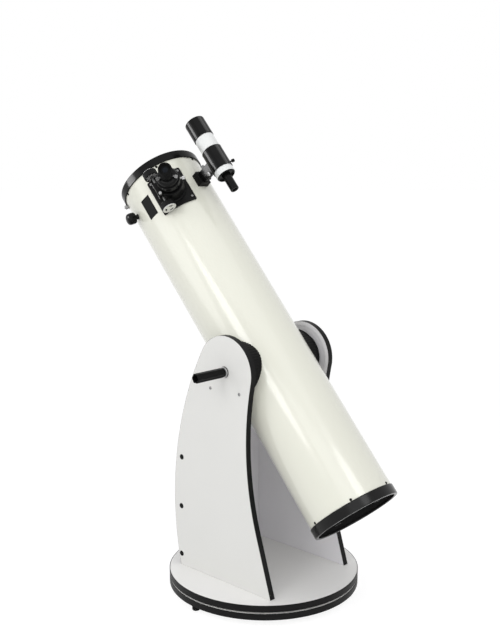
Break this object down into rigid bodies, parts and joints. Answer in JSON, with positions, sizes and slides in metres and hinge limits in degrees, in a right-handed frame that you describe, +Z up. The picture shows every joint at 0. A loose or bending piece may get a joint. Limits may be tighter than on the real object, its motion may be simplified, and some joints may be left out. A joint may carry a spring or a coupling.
{
  "type": "dobsonian telescope",
  "caption": "Reflecting telescope with a white tube on a rocker box mount: curved side panels, round turning base, side focuser with eyepiece and a finder scope.",
  "frame": {"origin": "on the floor on the azimuth axis", "axes": "+X along the altitude axis to the observer's right, +Y the way the tube points, +Z up"},
  "size_m": [0.5272, 0.9079, 1.2862],
  "materials": {
    "white_laminate": "white melamine laminate on particle board",
    "black_edge": "black edge band",
    "white_paint": "gloss cream-white paint",
    "black_plastic": "satin black moulding",
    "black_metal": "black anodised",
    "black_steel": "matt black paint",
    "rubber": "black rubber",
    "steel": "zinc plated",
    "chrome": "polished chrome",
    "nylon": "natural nylon",
    "aluminium": "cast aluminium",
    "mirror": "front-aluminised glass",
    "glass": "coated glass"
  },
  "bodies": {
    "ground": {"ground_board": "white_laminate", "ground_board_edge": "black_edge", "foot_1": "rubber", "foot_2": "rubber", "foot_3": "rubber", "azimuth_runner": "nylon", "azimuth_pivot_bolt": "steel", "azimuth_pivot_nut": "steel"},
    "rocker": {"rocker_board": "white_laminate", "rocker_board_edge": "black_edge", "pivot_bushing": "nylon", "left_side_panel": "white_laminate", "right_side_panel": "white_laminate", "left_panel_edge": "black_edge", "right_panel_edge": "black_edge", "front_board": "white_laminate", "left_front_post": "nylon", "left_rear_post": "nylon", "right_front_post": "nylon", "right_rear_post": "nylon"},
    "optical_tube": {"tube": "white_paint", "front_ring": "black_plastic", "rear_ring": "black_plastic", "left_altitude_bearing": "black_plastic", "right_altitude_bearing": "black_plastic", "spider": "black_steel", "mirror_cell_frame": "black_metal", "focuser_base": "black_metal", "finder_shoe": "black_plastic", "guide_knob": "black_plastic"},
    "left_handle": {"left_handle_bolt": "steel", "left_handle_grip": "black_plastic"},
    "right_handle": {"right_handle_bolt": "steel", "right_handle_grip": "black_plastic"},
    "mirror_cell": {"mirror_cell_plate": "aluminium", "primary_mirror": "mirror"},
    "cell_knob_1": {"collimation_knob_1": "black_plastic"},
    "cell_knob_2": {"collimation_knob_2": "black_plastic"},
    "cell_knob_3": {"collimation_knob_3": "black_plastic"},
    "secondary": {"secondary_holder": "black_plastic", "secondary_mirror": "mirror"},
    "focus_drive": {"focus_shaft": "steel", "focus_knob_upper": "black_metal", "focus_knob_lower": "black_metal"},
    "draw": {"drawtube": "black_metal", "eyepiece_adapter": "black_metal"},
    "eyepiece": {"eyepiece_barrel": "chrome", "eyepiece_body": "black_plastic", "eyepiece_cup": "rubber"},
    "collar_clamp": {"drawtube_screw": "chrome"},
    "adapter_clamp": {"adapter_screw": "chrome"},
    "focus_lock": {"focus_lock_screw": "chrome"},
    "finder_mount": {"finder_bracket": "black_plastic"},
    "finder": {"finder_tube": "white_paint", "finder_objective_cell": "black_plastic", "finder_lens": "glass", "finder_eyepiece": "black_plastic"},
    "finder_adjuster_1": {"finder_screw_1": "black_plastic"},
    "finder_adjuster_2": {"finder_screw_2": "black_plastic"},
    "shoe_clamp": {"shoe_screw": "black_plastic"}
  },
  "joints": [
    {"name": "azimuth_turn", "type": "hinge", "parent": "ground", "child": "rocker", "pos_m": [0, 0, 0], "axis": [0, 0, 1], "continuous": true},
    {"name": "altitude_swing", "type": "hinge", "parent": "rocker", "child": "optical_tube", "pos_m": [0, -0.01, 0.6396], "axis": [1, 0, 0], "range_deg": [-48.7, 41.3]},
    {"name": "left_handle_turn", "type": "hinge", "parent": "optical_tube", "child": "left_handle", "pos_m": [0, -0.01, 0.6396], "axis": [-1, 0, 0], "range_deg": [-180, 180]},
    {"name": "right_handle_turn", "type": "hinge", "parent": "optical_tube", "child": "right_handle", "pos_m": [0, -0.01, 0.6396], "axis": [1, 0, 0], "range_deg": [-180, 180]},
    {"name": "mirror_tilt", "type": "hinge", "parent": "optical_tube", "child": "mirror_cell", "pos_m": [0, -0.294, 0.31633], "axis": [1, 0, 0], "range_deg": [-1, 1]},
    {"name": "cell_knob_1_turn", "type": "hinge", "parent": "optical_tube", "child": "cell_knob_1", "pos_m": [0, 0.04259, 0.5934], "axis": [0, 0.66, 0.7513], "range_deg": [-360, 360]},
    {"name": "cell_knob_2_turn", "type": "hinge", "parent": "optical_tube", "child": "cell_knob_2", "pos_m": [-0.06062, -0.03629, 0.6627], "axis": [0, 0.66, 0.7513], "range_deg": [-360, 360]},
    {"name": "cell_knob_3_turn", "type": "hinge", "parent": "optical_tube", "child": "cell_knob_3", "pos_m": [0.06062, -0.03629, 0.6627], "axis": [0, 0.66, 0.7513], "range_deg": [-360, 360]},
    {"name": "secondary_turn", "type": "hinge", "parent": "optical_tube", "child": "secondary", "pos_m": [0, 0.33419, 1.03138], "axis": [0, 0.66, 0.7513], "range_deg": [-15, 15]},
    {"name": "focus_travel", "type": "slide", "parent": "optical_tube", "child": "draw", "axis": [-0.682, -0.5494, 0.4827], "range_m": [-0.011, 0.027]},
    {"name": "focus_turn", "type": "hinge", "parent": "optical_tube", "child": "focus_drive", "pos_m": [-0.12563, 0.26812, 1.08943], "axis": [0, 0.66, 0.7513], "range_deg": [-520.7, 215.1]},
    {"name": "eyepiece_slide", "type": "slide", "parent": "draw", "child": "eyepiece", "axis": [-0.682, -0.5494, 0.4827], "range_m": [0, 0.035]},
    {"name": "collar_clamp_turn", "type": "hinge", "parent": "draw", "child": "collar_clamp", "pos_m": [-0.10101, 0.21173, 1.12217], "axis": [0.6732, -0.7295, 0.1208], "range_deg": [-180, 180]},
    {"name": "adapter_clamp_turn", "type": "hinge", "parent": "draw", "child": "adapter_clamp", "pos_m": [-0.13369, 0.20394, 1.12878], "axis": [0.5171, -0.829, -0.2129], "range_deg": [-180, 180]},
    {"name": "focus_lock_turn", "type": "hinge", "parent": "optical_tube", "child": "focus_lock", "pos_m": [-0.13422, 0.25186, 1.07909], "axis": [-0.682, -0.5494, 0.4827], "range_deg": [-180, 180]},
    {"name": "finder_slide", "type": "slide", "parent": "optical_tube", "child": "finder_mount", "axis": [0, 0.66, 0.7513], "range_m": [0, 0.045]},
    {"name": "finder_tilt", "type": "hinge", "parent": "finder_mount", "child": "finder", "pos_m": [0.0106, 0.20108, 1.18626], "axis": [-0.9986, -0.0393, 0.0345], "range_deg": [-0.6, 0.6]},
    {"name": "finder_adjuster_1_turn", "type": "hinge", "parent": "finder_mount", "child": "finder_adjuster_1", "pos_m": [0.03489, 0.15973, 1.16402], "axis": [0.829, -0.4201, 0.3691], "range_deg": [-180, 180]},
    {"name": "finder_adjuster_2_turn", "type": "hinge", "parent": "finder_mount", "child": "finder_adjuster_2", "pos_m": [0.02698, 0.19029, 1.13718], "axis": [0.5592, 0.6228, -0.5472], "range_deg": [-180, 180]},
    {"name": "shoe_clamp_turn", "type": "hinge", "parent": "optical_tube", "child": "shoe_clamp", "pos_m": [0.02509, 0.23947, 1.11926], "axis": [0.9986, 0.0393, -0.0345], "range_deg": [-180, 180]}
  ],
  "couplings": [
    {"joint": "focus_turn", "follows": "focus_travel", "rad_per_m": -333.33}
  ]
}
